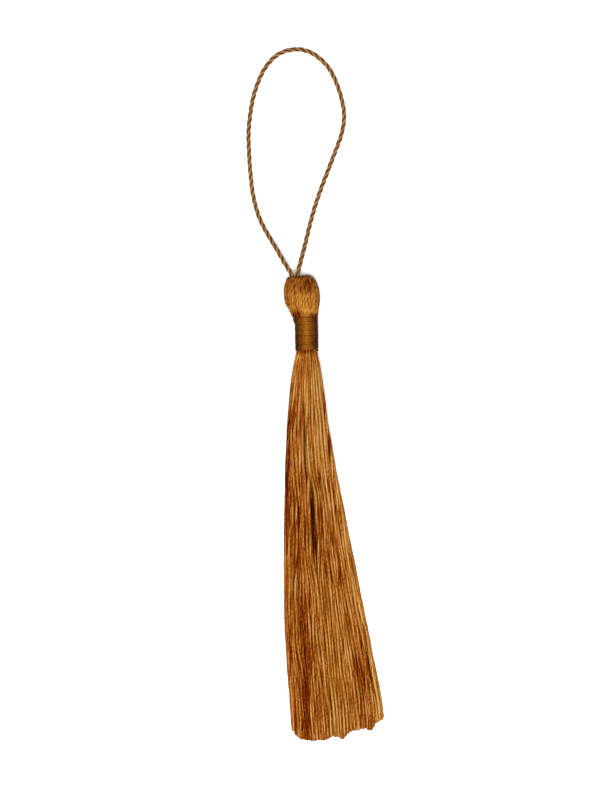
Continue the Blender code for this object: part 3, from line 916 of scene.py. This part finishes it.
def skirt_bundles():
    """The skirt's yarns, settled and coloured, as one bundle for each layer."""
    row, col, layer, place = yarn_table()
    shares = np.linspace(0.0, 1.0, SETTLE_STATIONS)
    lines = settle(yarn_lines(row, col, layer, place, shares), yarn_radii(shares), layer)

    # the part of each yarn that the binding hides, where it grips the bundle
    across, up = bundle_place(row, col)
    hidden = [
        np.stack([
            NECK_SKIRT_END[0] + ROOT_RADIUS * size * across,
            np.full(len(row), y),
            NECK_SKIRT_END[2] + ROOT_RADIUS * size * up,
        ], axis=-1)
        for y, size in UNDER_BINDING
    ]
    lines = np.concatenate([np.stack(hidden, axis=1), lines], axis=1)
    lines = smoothed(lines, YARN_STEPS)
    run = lengths_along(lines)
    radii = yarn_radii(run / run[:, -1:])
    radii = radii * RNG.uniform(*YARN_SIZES, (len(radii), 1))
    radii[:, -1] *= YARN_END_SIZE
    lines[..., 2] = np.maximum(lines[..., 2], radii)

    middle_tone, tone_spread = OWN_TONE
    own = middle_tone + tone_spread * RNG.standard_normal(len(row)) + PLACE_TONE * place
    cut_end = smoothstep(CUT_TONE_SHARE, 1.0, run / run[:, -1:])
    # the bands' painted shade, and yarns that are darker or lighter in bands
    tones = own[:, None] + CUT_TONE * cut_end + banded(lines[..., 0], lines[..., 1])
    # painted shade under the binding
    tones = tones + ROOT_SHADE * smoothstep(*ROOT_SHADE_YS, lines[..., 1])
    return [
        dict(name=f"skirt_{number + 1}", paths=lines[layer == number], radii=radii[layer == number],
             profile=TWO_PLY, pitches=YARN_PITCHES, reference=(0.0, 0.0, 1.0),
             tones=tones[layer == number], material=FLOSS)
        for number in range(len(LAYER_SPREADS))
    ]


# ---------------------------------------------------------------- the head
def head_at(y, inset):
    """Centre x, half width, centre z and half height of the head at y, less an inset."""
    values = [table_at(HEAD_SECTIONS, HEAD_COLUMNS, name, y) for name in HEAD_COLUMNS[1:]]
    centre_x, half_width, centre_z, half_height = values
    return centre_x, half_width - inset, centre_z, half_height - inset


def head_lines():
    """Middle lines of the head's yarns: up the front, over the top and down the back."""
    leg = np.linspace(HEAD_FOOT_Y, HEAD_WIDEST_Y, HEAD_LEG_POINTS)[:-1]
    rise = np.sin(np.linspace(0.0, math.pi / 2.0, HEAD_CROWN_POINTS))
    y = np.concatenate([leg, HEAD_WIDEST_Y + (HEAD_TOP_Y - HEAD_WIDEST_Y) * rise])
    centre_x, half_width, centre_z, half_height = head_at(y, HEAD_YARN_RADIUS)
    half_width = half_width + np.interp(y, *zip(*HEAD_PROUD))
    centre_x = centre_x + np.interp(y, *zip(*HEAD_LEAN))
    half_height = np.maximum(half_height, HEAD_LEAST_HALF_HEIGHT)
    tuck = 1.0 - HEAD_TUCK * (1.0 - smoothstep(*HEAD_TUCK_YS, y))
    notch_x, notch_width, notch_depth, notch_y = HEAD_NOTCH
    lines = []
    for angle in (np.arange(HEAD_YARNS) + 0.5) / HEAD_YARNS * math.pi:
        spread = HEAD_SPREAD[int(math.cos(angle) > 0.0)] * abs(math.cos(angle))
        grip = tuck * (1.0 + spread * (1.0 - smoothstep(*HEAD_SPREAD_YS, y)))
        x = centre_x + grip * half_width * math.cos(angle)
        notch = notch_depth * np.exp(-((x - notch_x) / notch_width) ** 2)
        along = y - (HEAD_YARN_RADIUS + notch) * smoothstep(notch_y, HEAD_TOP_Y, y)
        out = grip * half_height * math.sin(angle)
        front = np.column_stack([x, along, centre_z + out])
        back = np.column_stack([x, along, centre_z - out])[::-1]
        lines.append(even_steps(np.concatenate([front, back]), HEAD_FINE_STEP)[None])
    return np.concatenate([smoothed(line, HEAD_STEPS) for line in lines])


def head_bundles():
    """The head's yarns, coloured, as one bundle."""
    lines = head_lines()
    run = lengths_along(lines)
    free = plateau(HEAD_YARN_ENDS, run / run[:, -1:])
    inner = np.sin((np.arange(len(lines)) + 0.5) / len(lines) * math.pi)[:, None]
    wave_high, wave_long, latest_start = HEAD_WAVE
    wave = 2.0 * math.pi * run / wave_long + RNG.uniform(0.0, latest_start, (len(lines), 1))
    lines[..., 0] += wave_high * inner * free * np.sin(wave)
    lines[..., 2] = np.maximum(lines[..., 2], HEAD_YARN_RADIUS)
    radii = HEAD_YARN_RADIUS * (HEAD_YARN_THIN + (1.0 - HEAD_YARN_THIN) * free)

    middle_tone, tone_spread = HEAD_TONE
    tones = middle_tone + tone_spread * RNG.standard_normal((len(lines), 1))
    # painted shade over the head's top
    tones = tones + HEAD_TOP_SHADE * smoothstep(*HEAD_TOP_SHADE_YS, lines[..., 1])
    # painted shade where the yarns tuck under the binding, over the top and along the edges, and
    # painted light on the lower middle
    for x, y, half_width, half_height, tone in HEAD_LIGHT_AND_SHADE_PATCHES:
        off = ((lines[..., 0] - x) / half_width) ** 2 + ((lines[..., 1] - y) / half_height) ** 2
        tones = tones + tone * np.exp(-off)
    return [dict(name="head", paths=lines, radii=radii, profile=TWO_PLY, pitches=HEAD_YARN_PITCHES,
                 reference=(1.0, 0.0, 0.0), tones=tones, material=HEAD_FLOSS)]


# ---------------------------------------------------------------- the binding
def neck_at(y):
    """Centre x and z of the neck at y."""
    share = (NECK_HEAD_END[1] - y) / (NECK_HEAD_END[1] - NECK_SKIRT_END[1])
    ends = ((NECK_HEAD_END[0], NECK_SKIRT_END[0]), (NECK_HEAD_END[2], NECK_SKIRT_END[2]))
    return (first + (last - first) * share for first, last in ends)


def binding_bundle():
    """The thread as a bundle of one: a helix round the neck, from the head's foot to the skirt."""
    count = BINDING_TURNS * THREAD_STEPS_PER_TURN
    turn = np.linspace(0.0, BINDING_TURNS, count)
    wave = sum(high * np.sin(2.0 * math.pi * turn * rate + phase) for high, rate, phase in THREAD_WAVES)
    first = BINDING_START + BINDING_RISE - THREAD_RADIUS
    last = BINDING_END + THREAD_RADIUS - BINDING_DROP
    share = turn / BINDING_TURNS
    y = first + (last - first) * share + wave
    centre_x, centre_z = neck_at(y)
    angle = 2.0 * math.pi * turn
    flare_width, flare_share = BINDING_FLARE
    flare = flare_width * (1.0 - smoothstep(0.0, flare_share, share))
    knots = np.arange(0.0, BINDING_TURNS + 1.0, THREAD_UNEVEN_STEP)
    uneven = np.interp(turn, knots, RNG.standard_normal(len(knots)))
    out = THREAD_OUT + flare / 2.0 + THREAD_UNEVEN * uneven
    line = np.column_stack([
        centre_x - flare / 2.0 + out * np.cos(angle),
        y,
        centre_z + out * np.sin(angle),
    ])
    # painted shade on the binding's flanks
    tones = BINDING_TONE + THREAD_UNEVEN_TONE * uneven + BINDING_SIDE_SHADE * np.abs(np.cos(angle))
    return dict(name="binding", paths=line[None], radii=np.full((1, count), THREAD_RADIUS),
                profile=ROUND, pitches=THREAD_PITCHES, reference=(0.0, 1.0, 0.0),
                tones=tones[None], material=THREAD)


# ---------------------------------------------------------------- the dark insides, painted shade between the strands
def ring(y, centre_x, half_width, centre_z, half_height):
    """Points round an oval at y, none of them below the surface."""
    angle = 2.0 * math.pi * np.arange(CORE_SIDES) / CORE_SIDES
    return np.column_stack([
        centre_x + half_width * np.cos(angle),
        np.full(CORE_SIDES, y),
        np.maximum(centre_z + half_height * np.sin(angle), CORE_LIFT),
    ])


def make_cores():
    rings = [ring(y, *head_at(y, CORE_INSET)) for y in CORE_YS]
    stand_for("floss", make_core("head_core", np.array(rings), CORE))

    rings = []
    first, last = BINDING_START - BINDING_CORE_SHORT, BINDING_END + BINDING_CORE_SHORT
    for y in np.linspace(first, last, BINDING_CORE_RINGS):
        x, z = neck_at(y)
        rings.append(ring(y, x, THREAD_OUT, z, THREAD_OUT))
    stand_for("neck_binding", make_core("binding_core", np.array(rings), CORE))


# ---------------------------------------------------------------- the cord
def make_cord(crowd):
    """The hanging loop, on the CAD model's route, with both ends inside the head."""
    into_left, into_right = CORD_INTO_HEAD
    held = np.array([into_left, *LOOP_ROUTE, into_right])
    fine = smoothed(held[None], CURVE_STEPS * (len(held) - 1) + 1)[0]
    line = even_steps(fine, CORD_STEP)
    radii = np.full((1, len(line)), CORD_DIAMETER / 2.0)
    # the cord takes the painted shade too, where it crowds the head's yarns
    cord = make_strands("cord", line[None], radii, THREE_PLY, CORD_PITCHES, (0.0, 0.0, 1.0),
                        np.full((1, 1), CORD_TONE), CORD, crowd)
    stand_for("hanging_loop", cord)


# ---------------------------------------------------------------- all of it
bundles = [*skirt_bundles(), *head_bundles()]
crowd = Crowd(bundles)
for bundle in bundles:
    stand_for("floss", make_strands(**bundle, crowd=crowd))
stand_for("neck_binding", make_strands(**binding_bundle()))
make_cores()
make_cord(crowd)
